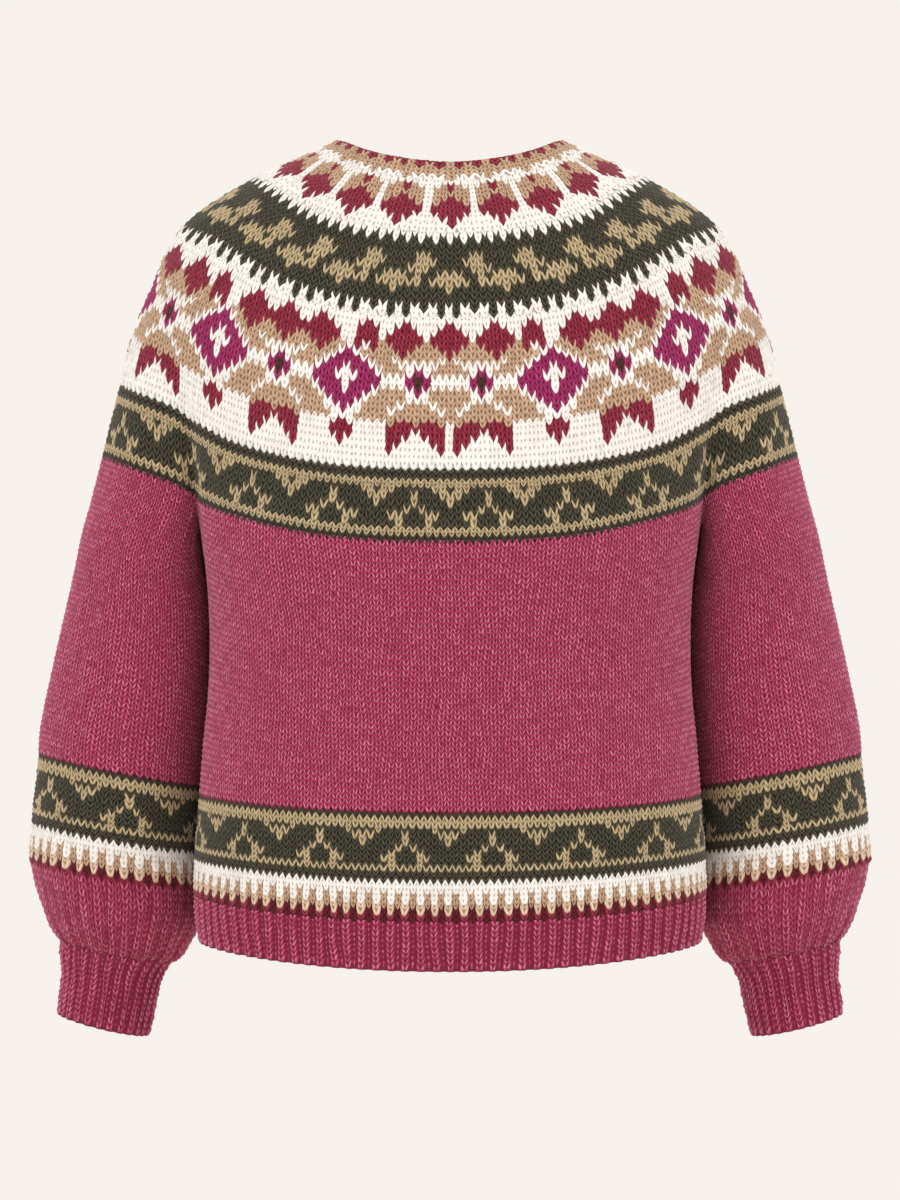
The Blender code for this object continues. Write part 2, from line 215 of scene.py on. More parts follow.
@dataclass
class Tube:
    """The smooth outside of a tube of cloth, as closed rings from its top down.

    The rings run clockwise, seen from above. A turn of 0 is the first station of a ring.
    """

    rings: np.ndarray
    facing: np.ndarray = field(init=False)

    def __post_init__(self) -> None:
        """Finds which way each point faces."""
        along = np.roll(self.rings, -1, 1) - np.roll(self.rings, 1, 1)
        down = np.gradient(self.rings, axis=0)
        facing = np.cross(along, down)
        self.facing = facing / np.maximum(np.linalg.norm(facing, axis=-1, keepdims=True), 1e-9)

    def at(self, row: np.ndarray, turn: np.ndarray) -> tuple[np.ndarray, np.ndarray]:
        """Points and outward directions on the tube.

        Args:
            row: places down the tube, in rings.
            turn: places round it, in whole turns.

        Returns:
            The points and the directions, each (..., 3).
        """
        rows, stations = self.rings.shape[:2]
        row = np.clip(row, 0, rows - 1)
        r = np.minimum(row.astype(int), rows - 2)
        fr = (row - r)[..., None]
        place = (turn % 1.0) * stations
        s = place.astype(int)
        fs = (place - s)[..., None]
        s0, s1 = s % stations, (s + 1) % stations
        found = []
        for grid in (self.rings, self.facing):
            top = grid[r, s0] * (1 - fs) + grid[r, s1] * fs
            low = grid[r + 1, s0] * (1 - fs) + grid[r + 1, s1] * fs
            found.append(top * (1 - fr) + low * fr)
        return found[0], found[1] / np.maximum(np.linalg.norm(found[1], axis=-1, keepdims=True), 1e-9)

    def levels(self, turn: float = 0.0) -> np.ndarray:
        """How low each ring is seen to lie at one turn, from the eye."""
        points, _ = self.at(np.arange(len(self.rings), dtype=float), np.full(len(self.rings), turn))
        return LEVEL_MIDDLE + (EYE_UP - points[:, 2]) / STEP * EYE_AWAY / (EYE_AWAY + points[:, 1])

    def rows_at(self, levels: np.ndarray, turn: float = 0.0) -> np.ndarray:
        """The places down the tube that are seen at these levels at one turn."""
        return np.interp(levels, self.levels(turn), np.arange(len(self.rings), dtype=float))

    def evened(self, first: float, last: float, count: int) -> "Tube":
        """The tube from one row to another, with its rings at even lengths down every station.

        Args:
            first: the row where it starts.
            last: the row where it ends.
            count: how many steps there are from ring to ring.

        Returns:
            A new tube.
        """
        stations = np.arange(self.rings.shape[1])
        rows = np.linspace(first, last, 4 * count + 1)[:, None]
        points, _ = self.at(rows + 0.0 * stations, stations / len(stations) + 0.0 * rows)
        shares = np.linspace(0, 1, count + 1)
        return Tube(np.stack([divided(points[:, s], shares) for s in stations], 1))

    def mirrored(self) -> "Tube":
        """The same tube on the other side of the sweater."""
        return Tube(mirrored(self.rings[:, ::-1]))

    def girths(self) -> np.ndarray:
        """The length round each ring."""
        return np.linalg.norm(np.roll(self.rings, -1, 1) - self.rings, axis=-1).sum(1)


class Garment:
    """The smooth outside of the whole sweater, as the tubes of its yoke, body, sleeve and cuff."""

    def __init__(self) -> None:
        """Builds the tubes from the rings."""
        rows = smooth_rows(np.array([self._yoke_stations(ring) for ring in YOKE_RINGS]), YOKE_FINE)
        around = np.concatenate([mirrored(rows[:, 1:2]), rows, mirrored(rows[:, -2:-1])], 1)
        shares = np.arange(YOKE_BETWEEN) / YOKE_BETWEEN
        spans = [np.stack([curve_points(*(around[:, i + j] for j in (-1, 0, 1, 2)), share)
                           for share in shares], 1) for i in range(1, around.shape[1] - 2)]
        line = np.concatenate(spans + [around[:, -2:-1]], 1)
        even = np.linspace(0, 1, YOKE_HALF + 1)
        self.yoke = Tube(whole_ring(np.array([divided(row, even) for row in line])))
        crease = CREASE * YOKE_BETWEEN
        back, over, front = line[:, :crease + 1], line[:, crease:-crease], line[:, -crease - 1:]
        before_last = -1 - YOKE_FINE[-1] // 2
        share = np.linspace(0, 1, BODY_PARTS[1] + 1)
        under = back[-1][-1] + (front[-1][0] - back[-1][-1]) * share[:, None]
        under[:, 2] -= UNDERARM_SAG * np.maximum(np.sin(np.pi * share), 0) ** UNDERARM_ROUND

        rings = np.array([self._body_half(ring) for ring in BODY_RINGS])
        arm = np.array([self._sleeve_ring(ring) for ring in SLEEVE_RINGS])
        n_back, n_under, _ = BODY_PARTS
        n_over, _ = SLEEVE_PARTS
        arm_under = np.concatenate([arm[0][n_over:], arm[0][:1]])[::-1]
        seam = joined((back[-1], under, front[-1]), BODY_PARTS, ended=True)
        above = joined((back[before_last], arm_under, front[before_last]), BODY_PARTS, ended=True)
        self.body = Tube(whole_ring(self._below_seam(seam, above, rings, BODY_FINE)))

        body_under = rings[0][n_back:n_back + n_under + 1][::-1]
        seam = joined((over[-1], under[::-1]), SLEEVE_PARTS, ended=False)
        above = joined((over[before_last], body_under), SLEEVE_PARTS, ended=False)
        self.sleeve = Tube(self._below_seam(seam, above, arm, SLEEVE_FINE))
        rows = smooth_rows(np.array([self._sleeve_ring(ring) for ring in CUFF_RINGS]), CUFF_FINE)
        self.cuff = Tube(np.concatenate([self._under_seam(arm[-1], arm[-2])[None], rows]))

    @staticmethod
    def _under_seam(seam: np.ndarray, above: np.ndarray) -> np.ndarray:
        """The ring to which the cloth below a seam reaches up under the cloth above it."""
        way = above - seam
        return seam + way * SEAM_REACH / np.linalg.norm(way, axis=-1, keepdims=True)

    @staticmethod
    def _below_seam(seam: np.ndarray, above: np.ndarray, rings: np.ndarray,
                    steps: tuple[int, ...]) -> np.ndarray:
        """The rows of a tube that hangs from the yoke's seam.

        Args:
            seam: the points of the seam.
            above: points of the cloth above it, which the rows leave smoothly.
            rings: the tube's rings below it.
            steps: how many rows from each of them to the next.

        Returns:
            (rows, stations, 3), from just under the yoke.
        """
        top = [Garment._under_seam(seam, above)]
        top += [curve_points(above, seam, rings[0], rings[1], k / SEAM_FINE) for k in range(SEAM_FINE)]
        return np.concatenate([np.array(top), smooth_rows(rings, steps)])

    @staticmethod
    def _yoke_stations(ring: tuple) -> np.ndarray:
        """The stations of half a yoke ring, its front ones mirrored from those of the back.

        Args:
            ring: one of YOKE_RINGS.

        Returns:
            (stations, 3), from centre back to centre front.
        """
        back, (front_y, front_z) = np.array(ring[:-1], float), ring[-1]
        side = back[-1]
        deep = side[1] - back[0][1]
        places = back[-2::-1]
        reach = np.maximum((side[1] - places[:, 1]) / deep, 0.0)
        front = np.stack([places[:, 0], side[1] + (side[1] - places[:, 1]) * (front_y - side[1]) / deep,
                          places[:, 2] + (front_z - back[0][2]) * reach ** FRONT_FALL], 1)
        return mirrored(np.concatenate([back, front]))

    @staticmethod
    def _body_half(ring: tuple) -> np.ndarray:
        """Half a body ring, divided into the stations of its back, underarm and front.

        Args:
            ring: one of BODY_RINGS.

        Returns:
            (stations, 3), from centre back to centre front.
        """
        side_up, half_width, back, front = ring
        angle = np.linspace(0, np.pi, BODY_HALF + 1)
        across, along = np.abs(np.sin(angle)), np.abs(np.cos(angle))
        points = np.zeros((BODY_HALF + 1, 3))
        for (end, drop, squareness), here in ((back, angle <= np.pi / 2), (front, angle > np.pi / 2)):
            power = 2.0 / squareness
            points[here] = np.stack([-half_width * across ** power,
                                     SIDE_FORWARD + (end - SIDE_FORWARD) * along ** power,
                                     side_up - drop * along ** (2 * power)], 1)[here]
        low, high = SIDE_SHARE
        n_back, n_under, n_front = BODY_PARTS
        shares = np.concatenate([np.linspace(0, low, n_back + 1)[:-1],
                                 np.linspace(low, high, n_under + 1)[:-1],
                                 np.linspace(high, 1, n_front + 1)])
        return divided(points, shares)

    @staticmethod
    def _sleeve_ring(ring: tuple) -> np.ndarray:
        """A ring of the left sleeve.

        Args:
            ring: one of SLEEVE_RINGS or CUFF_RINGS.

        Returns:
            (stations, 3), from the crease behind the arm, over the outside and back under it.
        """
        out, forward, up, half_width, half_depth, tilt = ring
        lean = math.radians(tilt)
        outward = np.array([-math.cos(lean), 0, math.sin(lean)])
        start, end = (math.radians(a) for a in GUSSET_ANGLES)
        over, under = SLEEVE_PARTS
        angles = np.concatenate([np.linspace(start, end, over + 1)[:-1],
                                 np.linspace(end, 2 * math.pi + start, under + 1)[:-1]])[:, None]
        return (np.array([-out, forward, up]) + outward * half_width * np.cos(angles)
                + np.array([0, 1.0, 0]) * half_depth * np.sin(angles))


# ------------------------------------------------------------------------------------------- yarns


@dataclass(frozen=True)
class Yarn:
    """One yarn: the colours of its strand and of the painted shade between its stitches, and how full and
    flecked it is.
    """

    strand: tuple[int, int, int]
    gap: tuple[int, int, int]
    fill: float
    fleck: float = 0.0


class Shade(Enum):
    """The yarns, by the letters that the charts name them with."""

    WHITE = "W"
    BURGUNDY = "B"
    ROSE = "R"
    OLIVE = "O"
    TAN = "T"
    MAGENTA = "M"
    DARK = "K"
    RASPBERRY = "P"
    MAROON = "N"
    BEIGE = "C"
    SHADOW = "S"


# Each yarn's gap colour is painted shade: a darker colour for the shade in the hollows between stitches.
YARNS = {
    Shade.WHITE: Yarn((250, 248, 246), (182, 148, 128), 0.92),
    Shade.BURGUNDY: Yarn((136, 34, 56), (86, 14, 32), 0.6, 0.15),
    Shade.ROSE: Yarn((184, 155, 129), (136, 96, 72), 0.58),
    Shade.OLIVE: Yarn((66, 63, 50), (31, 29, 21), 0.3),
    Shade.TAN: Yarn((177, 158, 124), (108, 95, 70), 0.52),
    Shade.MAGENTA: Yarn((150, 36, 91), (96, 16, 58), 0.6, 0.15),
    Shade.DARK: Yarn((70, 44, 34), (44, 22, 20), 0.7),
    Shade.RASPBERRY: Yarn((185, 67, 104), (132, 33, 63), 0.5, 1.0),
    Shade.MAROON: Yarn((92, 20, 32), (46, 8, 15), 0.5),
    Shade.BEIGE: Yarn((209, 187, 163), (160, 118, 90), 0.6),
    Shade.SHADOW: Yarn((52, 49, 38), (32, 29, 22), 0.5),
}
ORDER = list(YARNS)
LETTERS = {shade.value: i for i, shade in enumerate(ORDER)}


def linear(colour: tuple[int, int, int]) -> list[float]:
    """A colour as the eye reads it, 0 to 255, as amounts of light."""
    parts = [c / 255 for c in colour]
    return [c / 12.92 if c <= 0.04045 else ((c + 0.055) / 1.055) ** 2.4 for c in parts]


# ------------------------------------------------------------------------------------------ charts


@dataclass(frozen=True)
class Row:
    """One row of a chart: the level of its stitches' tips and its colours over a repeat.

    A string as long as the repeat is read straight on from the middle of the back; one of half that
    length and one more is read out and back again. The two halves of the round mirror each other.
    """

    level: float
    colours: str
    repeat: int = 0

    def over(self, count: int) -> np.ndarray:
        """Which yarn each stitch of the round has.

        Args:
            count: how many stitches the round has.

        Returns:
            Places in ORDER, one to a stitch.
        """
        repeat = self.repeat or len(self.colours)
        k = np.arange(count)
        k = np.minimum(k, count - k) % repeat
        if len(self.colours) < repeat:
            k = np.minimum(k, repeat - k)
        return np.array([LETTERS[letter] for letter in self.colours])[k]


def rows_of(repeat: int, *rows: tuple[float, str]) -> list[Row]:
    """Rows that share one repeat."""
    return [Row(level, colours, repeat) for level, colours in rows]


def drawn(levels: tuple[float, ...], lines: list[str]) -> list[Row]:
    """Rows whose colours are drawn for half of the round and one stitch more."""
    return [Row(level, line, 2 * (len(line) - 1)) for level, line in zip(levels, lines)]


def flowers_and_crowns() -> list[Row]:
    """The rows of the yoke's widest band.

    Returns:
        Hanging crowns, then flowers and diamonds, then standing crowns, from the top down.
    """
    half = 98
    small = {11, 33, 49, 65, 87}
    crowns = sorted({x for c in (0, 6, 11, 17, 22, 27, 33, 38, 44, 49) for x in (c, half - c)})
    flowers, diamonds = (4, 22, 40, 58, 76, 94), (13, 31, 49, 67, 85)

    def crown_rows() -> list[str]:
        """The hanging crowns.

        Returns:
            Each row's colours, as drawn() takes them.
        """
        reach = ((0, 0), (1, 1), (2, 1), (2, 1), (1, 1))
        lines = []
        for i, (big, little) in enumerate(reach):
            line = ""
            for k in range(half + 1):
                near = min(crowns, key=lambda c: abs(c - k))
                d = abs(near - k)
                gap = min(abs(k - x) for x in diamonds)
                letter = "W" if i < 3 or gap <= (1 if i == 3 else 0) else "R"
                if d <= (little if near in small else big):
                    letter = "B"
                if i == 4 and near in small and d == 0:
                    letter = "W"
                line += letter
            lines.append(line)
        return lines

    strings = ("RRRRRRRRWM", "RRRWRRRWMM", "WWWRRRWMMM", "MWRRRWMMMW", "KMWWWMMMWW", "KMWWWMMMMW",
               "MWRRRWMMMW", "WWRRRRWMMM", "RRWRRRRWMM", "RRRWRRRWWM", "RRRRRRRRWW", "RBBRWWWWWB",
               "BBBBWWWWBB", "WBBBWWWWBB", "WWBBWWWWWB", "WWWBWWWWWW")
    lines = ["W" * (half + 1)] + crown_rows()
    away = [min(min(abs(k - f) for f in flowers), len(strings[0]) - 1) for k in range(half + 1)]
    lines += ["".join(text[d] for d in away) for text in strings]
    points = [k for k in crowns if k not in small]
    lines[6] = "".join("B" if k in points else letter for k, letter in enumerate(lines[6]))
    lines += ["W" * (half + 1)] * 2
    levels = (325.4, 331.4, 337.9, 344, 349.4, 355.5, 361.6, 366.5, 373, 380, 386.7, 393, 400, 406.4,
              412.5, 418.7, 424.9, 429.8, 436, 442.8, 450.1, 457.4, 464.3, 471.2)
    return drawn(levels, lines)


def teeth(half: int, hanging: list[int], standing: list[int],
          rows: tuple[tuple[tuple, tuple], ...]) -> list[str]:
    """Rows of tan teeth on olive that hang and stand by turns.

    Args:
        half: how many stitches there are to the centre front.
        hanging: where the hanging teeth have their middles.
        standing: where the standing ones have theirs.
        rows: for each row, how far from the middle of a hanging and of a standing tooth tan lies.

    Returns:
        Each row's colours, as drawn() takes them.
    """
    lines = []
    for hang, stand in rows:
        line = ""
        for k in range(half + 1):
            near_hang = min(abs(k - c) for c in hanging)
            near_stand = min(abs(k - c) for c in standing)
            line += "T" if near_hang in hang or near_stand in stand else "O"
        lines.append(line)
    return lines


NECK_ROWS = rows_of(4, (165, "RBB"), (169.5, "RBR"), (173, "RRR"), (177.5, "RRR"), (181.7, "RWW"))
CROWN_ROWS = rows_of(6, (185.9, "WWWW"), (189.7, "BRWW"), (193.9, "BRRW"), (198.1, "RRRW"), (202.7, "BRRW"),
                     (207.7, "BBRW"), (212.3, "BBBW"), (217.3, "BBBW"), (222.6, "BBWW"), (229.1, "BWWW"),
                     (234, "WWWW"))
SCROLL_ROWS = [
    Row(238.7, "W"), Row(245.2, "WO"), Row(251.4, "O"), Row(256.7, "O"),
    Row(262.8, "OOOTTOO"), Row(269.2, "OOTTTOO"), Row(275.9, "OOOTTTO"), Row(282.8, "TTOOTOT"),
    Row(289.5, "TTTOTTT"), Row(296, "TOOOOOO"), Row(302.2, "O"), Row(308.2, "O"), Row(314, "WO"),
    Row(319.6, "WOWW", 6),
]
YOKE_HANGING = [0, *range(10, 107, 12), 116]
YOKE_STANDING = [5, *range(16, 101, 12), 111]
YOKE_TEETH = drawn(
    (476.8, 481.6, 485.6, 489.6, 495.7, 502.5, 510, 516.5, 523.5, 530.2, 534.3, 538.5, 545.8),
    ["O" * 117] * 2 + ["T" * 117] * 2
    + teeth(116, YOKE_HANGING, YOKE_STANDING,
            (((1, 2), ()), ((0, 1), (0,)), ((0,), (0,)), ((), (1,)), ((), (2, 3)), ((), (2,))))
    + ["T" * 117] * 2 + ["S" * 117])
BAND_TEETH = teeth(12, [0, 12], [6], (((2,), ()), ((0, 1), (0,)), ((0,), (0,)), ((), (1,)), ((), (2,)),
                                      ((), (2, 3)), ((), (2,))))
BAND_LEVELS = (820, 825.2, 830.6, 835.6, 842, 848.5, 853.9, 858.9, 864.3, 868.9, 873.8, 879.2, 884.9, 890.3,
               895.7, 901, 906.4, 911.2, 918, 923.6)
BAND_TEXTS = (["S", "T", "T"] + [line[:12] for line in BAND_TEETH]
              + ["T", "O", "O", "W", "W", "WR", "WR", "CR", "CN", "BN"])

BAND_RIBS = (0.35, 0.55, 0.75, 0.9, 1.0)  # how ribbed the band's last rows are


def band_rows() -> list[Row]:
    """The patterned band above the hem, its last rows ribbed."""
    return [Row(level, text) for level, text in zip(BAND_LEVELS, BAND_TEXTS)]


# ---------------------------------------------------------------------------------------- knitting


@dataclass(frozen=True)
class Stitch:
    """The shape of one stitch, in millimetres or in shares of a row.

    Each list of four runs over the lines of points down a stitch: the groove beside it, its left leg,
    the groove in its middle and its right leg.
    """

    rise: float = 1.35
    base: float = -0.45
    slant: tuple[float, ...] = (-1.15, -0.46, 0.0, -0.46)
    gap: tuple[float, ...] = (0.0, 0.42, 0.0, 0.42)
    crest: tuple[float, ...] = (0.25, 1.0, 0.5, 1.0)
    purl_slant: tuple[float, ...] = (-1.15, -1.1, -1.05, -1.1)
    purl_gap: tuple[float, ...] = (-0.1, -0.45, -0.35, -0.45)
    purl_crest: tuple[float, ...] = (0.0, 0.05, 0.45, 0.05)
    # purl_across and purl_along place a purl bump's painted highlight.
    purl_across: tuple[float, ...] = (0.0, 0.3, 0.9, 0.3)  # where a purl stitch's bump is light
    purl_along: tuple[float, ...] = (0.2, 0.5, 0.9, 0.5)
    rib_shift: tuple[float, ...] = (-0.1, -0.05, 0.0, 0.05)
    rib_rise: float = 1.3
    uneven: float = 0.15  # how much stitches differ in rise
    uneven_most: float = 0.3
    dimmed: float = 0.5  # how much light the dullest purl bump loses
    stray_down: float = 0.09  # of a row
    stray_aside: float = 0.035  # of a stitch
    wander: float = 0.13  # of a stitch, by which whole lines of stitches sway
    edge_slant: tuple[float, float] = (0.5, 0.9)  # what is left of the slant by a flat top and foot
    tuck_share: float = 0.7  # how deep the tips of a tucked row lie
    foot_rise: float = 0.25


@dataclass(frozen=True)
class Crease:
    """A soft ridge or trough down a tube, wider and lower than a stitch."""

    turn: float  # where it lies round the tube at its top
    drift: float  # how far round it has moved at its foot
    width: float  # in turns
    top: float  # heights where it starts and ends
    foot: float
    height: float  # a trough's is negative
    soft: float = 14.0  # how far it takes to fade in and out

    def rise(self, points: np.ndarray, facing: np.ndarray, turn: np.ndarray) -> np.ndarray:
        """How far the crease lifts each point of the cloth.

        Args:
            points: the points, (rows, columns, 3).
            facing: which way each faces.
            turn: where each lies round the tube.

        Returns:
            Millimetres outward, (rows, columns).
        """
        up = points[..., 2]
        share = np.clip((self.top - up) / (self.top - self.foot), 0, 1)
        away = (turn - self.turn - self.drift * share + 0.5) % 1.0 - 0.5
        over, under = (up - self.top) / self.soft, (self.foot - up) / self.soft
        fade = 1 / (1 + np.exp(over * 4)) / (1 + np.exp(under * 4))
        return self.height * fade * np.exp(-(away / self.width) ** 2)


@dataclass(frozen=True)
class Bulge:
    """Cloth that leans out to one side over a stretch of its height."""

    towards: float  # 1 for +X, -1 for -X
    middle: float
    reach: float
    height: float

    def rise(self, points: np.ndarray, facing: np.ndarray, turn: np.ndarray) -> np.ndarray:
        """How far the bulge lifts each point of the cloth."""
        aside = np.clip(facing[..., 0] * self.towards, 0, 1) ** 3
        return self.height * aside * np.exp(-((points[..., 2] - self.middle) / self.reach) ** 2)


@dataclass(frozen=True)
class Puff:
    """Cloth that puffs out just above the slanting line where it is drawn in to a cuff."""

    out: float  # how far out the middle of the line lies, and its height there
    line: float
    slope: float  # how much the line rises outwards
    above: float  # how far above the line the cloth stands out most
    reach: float
    height: float

    def rise(self, points: np.ndarray, facing: np.ndarray, turn: np.ndarray) -> np.ndarray:
        """How far the puff lifts each point of the cloth."""
        over = points[..., 2] - self.line - (np.abs(points[..., 0]) - self.out) * self.slope
        return self.height * np.exp(-((over - self.above) / self.reach) ** 2)


Swell = Crease | Bulge | Puff


@dataclass
class Strip:
    """Rows of knitting that share one count of stitches, on a tube."""

    tube: Tube
    count: int
    lines: np.ndarray  # places down the tube of the rows' tips, one more than there are rows
    yarns: np.ndarray  # (rows, count), places in ORDER
    ribbing: np.ndarray  # how far every second stitch of a row is a purl stitch, 0 to 1
    proud: np.ndarray  # how far the other stitches stand out, 0 to 1
    squeeze: float = 0.0  # how much narrower stitches are at centre back and front
    tucked: float = 0.0  # how deep the first row lies under the strip above
    seed: int = 1
    flat_top: bool = True
    flat_foot: bool = True


class Knitting:
    """Gathers the points, faces and values of one knitted piece, then makes it an object."""

    WALL = 2.5  # how far the inside lies under the outside
    ROW = 4.2  # about how tall a row of stitches is
    APART = 3.0  # between lengths of the flat layout
    SWAYS = ((3, 0.03), (7, 0.06), (13, 0.11), (29, 0.21))  # waves round the tube and down it
    SWAY_SEED = 100  # past the strip's own
    LINING_WEAVE = (0.6, 0.6, 0.0)  # the plain inside's place across and along a strand
    LINING_CHANCE = 0.5
    FLAT_SIZE, FLAT_START = (0.98, 0.92), (0.01, 0.07)  # of the outside in the flat layout
    FLAT_LINING, FLAT_FOOT = 0.012, 0.001  # how tall the inside and the rims are in it, from where

    def __init__(self, name: str, cuts: int, stitch: Stitch = Stitch()) -> None:
        """Starts an empty piece.

        Args:
            name: the piece's name.
            cuts: into how many lengths its surface is cut where it is laid out flat.
            stitch: the shape of its stitches.
        """
        self.name, self.cuts, self.stitch = name, cuts, stitch
        self.points: list[np.ndarray] = []
        self.weave: list[np.ndarray] = []
        self.faces: list[np.ndarray] = []
        self.places: list[np.ndarray] = []
        self.face_values: list[np.ndarray] = []
        self.total = 0
        self.shelf = 0.0
        self.swells: list[Swell] = []

    def add(self, strip: Strip) -> None:
        """Adds one strip as a closed wall, with stitches outside and a plain inside.

        Args:
            strip: what is knitted.
        """
        rng = np.random.default_rng(strip.seed)
        outer, weave = self._outside(strip, rng)
        rows, columns = outer.shape[:2]
        start = self.total
        self.points.append(outer.reshape(-1, 3))
        self.weave.append(weave.reshape(-1, 3))
        self.total += rows * columns
        index = start + np.arange(rows * columns).reshape(rows, columns)
        right = np.roll(index, -1, 1)
        quads = np.stack([index[:-1], right[:-1], right[1:], index[1:]], -1).reshape(-1, 4)

        r, c = np.meshgrid(np.arange(rows - 1), np.arange(columns), indexing="ij")
        cell = strip.yarns[r // 2, c // 4]
        chance = rng.random(strip.yarns.shape)[r // 2, c // 4]
        height = (rows - 1) / 2 * self.ROW
        self._lay(float(strip.tube.girths().mean()), r, c, height)
        self.faces.append(quads)
        self._value(cell.ravel(), chance.ravel())

        self._line_inside(strip, self._inside(strip), index)

    def _value(self, yarn: np.ndarray, chance: np.ndarray) -> None:
        """Keeps each face's yarn and its share of chance."""
        self.face_values.append(np.stack([yarn.astype(float), chance], 1))

    def _turns(self, strip: Strip, columns: int) -> np.ndarray:
        """Where lines of points run down the strip.

        Args:
            strip: what is knitted.
            columns: how many lines there are.

        Returns:
            The lines' places in turns, from the left edge of stitch 0.
        """
        c = np.arange(columns) / (columns / strip.count) - 0.5
        half = strip.count / 2
        c = c - strip.squeeze * half / (2 * np.pi) * np.sin(2 * np.pi * c / half)
        return c / strip.count

    def _outside(self, strip: Strip, rng: np.random.Generator) -> tuple[np.ndarray, np.ndarray]:
        """The stitches of a strip.

        Args:
            strip: what is knitted.
            rng: where chance comes from.

        Returns:
            The points, (rows, columns, 3), and how far each lies across a leg, along the strand and
            on which leg, (rows, columns, 3).
        """
        s = self.stitch
        rows, columns = len(strip.lines) - 1, 4 * strip.count
        lines = strip.lines
        ribbed = np.append(strip.ribbing, strip.ribbing[-1])
        proud = np.append(strip.proud, strip.proud[-1])
        column = np.arange(columns)
        sub, number = column % 4, column // 4
        purl = number % 2 == 1
        rise = np.zeros((2 * rows + 1, columns))
        slant, place, shift = np.zeros_like(rise), np.zeros_like(rise), np.zeros_like(rise)
        weave = np.zeros((2 * rows + 1, columns, 3))
        rib_shift = np.array(s.rib_shift)[sub] * np.where(purl, -1, 1)
        tall = np.diff(lines)
        tall = np.concatenate([tall, tall[-1:]])
        plain_gap, plain_crest, plain_slant = (np.array(x)[sub] for x in (s.gap, s.crest, s.slant))
        purl_gap, purl_crest, purl_slant, purl_across, purl_along = (
            np.array(x)[sub] for x in (s.purl_gap, s.purl_crest, s.purl_slant, s.purl_across, s.purl_along))
        for i in range(2 * rows + 1):
            k, crest = i // 2, i % 2 == 1
            low = ribbed[k] * purl
            plain, purled = (plain_crest, purl_crest) if crest else (plain_gap, purl_gap)
            shape = plain * (1 - low) + purled * low
            rise[i] = shape * s.rise + s.base + proud[k] * s.rib_rise * (~purl & (sub != 0))
            slant[i] = (plain_slant * (1 - low) + purl_slant * low) * tall[k]
            shift[i] = rib_shift * proud[k]
            place[i] = lines[k] + (tall[k] / 2 if crest else 0.0)
            weave[i, :, 0] = np.isin(sub, (1, 3)) * (1 - low) + purl_across * low
            weave[i, :, 1] = crest * ((1 - low) + purl_along * low)
            weave[i, :, 2] = low
        if strip.flat_top:
            slant[0] = 0
            slant[1] *= s.edge_slant[0]
        if strip.flat_foot:
            slant[-1] = 0
            slant[-2] *= s.edge_slant[1]
        else:
            rise[-1] = s.foot_rise
        loose = rng.normal(0, 1, (rows, strip.count))
        size = 1 + s.uneven * np.repeat(np.repeat(loose, 4, 1), 2, 0)
        rise[:-1] *= np.clip(size, 1 - s.uneven_most, 1 + s.uneven_most)
        dim = 1 - s.dimmed * rng.random((rows, strip.count))
        weave[:-1, :, 1] *= np.where(weave[:-1, :, 2] > 0, np.repeat(np.repeat(dim, 4, 1), 2, 0), 1)
        down = place + slant
        down[1:-1:2] += rng.normal(0, s.stray_down, down[1:-1:2].shape) * tall[:-1, None]
        turn = self._turns(strip, columns)[None, :] + shift / strip.count
        turn = turn + self._wander(strip, place, turn)
        turn += rng.normal(0, s.stray_aside, turn.shape) / strip.count
        down = np.clip(down, lines[0], lines[-1])
        points, facing = strip.tube.at(down, turn)
        if strip.tucked:
            rise[0] -= strip.tucked
            rise[1] -= strip.tucked * s.tuck_share
        for swell in self.swells:
            rise += swell.rise(points, facing, turn)
        return points + facing * rise[..., None], weave

    def _wander(self, strip: Strip, place: np.ndarray, turn: np.ndarray) -> np.ndarray:
        """How far the lines of stitches sway sideways.

        Args:
            strip: what is knitted.
            place: how far down the tube each point lies.
            turn: where it lies round the tube.

        Returns:
            Turns, one to a point.
        """
        rng = np.random.default_rng(strip.seed + self.SWAY_SEED)
        found = np.zeros_like(turn)
        for waves, fine in self.SWAYS:
            phase = rng.random(2) * 2 * np.pi
            found += np.sin(2 * np.pi * waves * turn + phase[0]) * np.sin(place * fine + phase[1])
        return found * self.stitch.wander / strip.count

    def _inside(self, strip: Strip) -> np.ndarray:
        """The plain inside of a strip.

        Args:
            strip: what is knitted.

        Returns:
            One point to a stitch, (rows, stitches, 3).
        """
        down = strip.lines[:, None]
        turn = self._turns(strip, strip.count) + 0 * down
        points, facing = strip.tube.at(down + 0 * turn, turn)
        depth = np.full(points.shape[:2], self.WALL)
        if strip.tucked:
            depth[0] += strip.tucked
        swell = np.zeros(points.shape[:2])
        for each in self.swells:
            swell += each.rise(points, facing, turn)
        return points + facing * (swell - depth)[..., None]

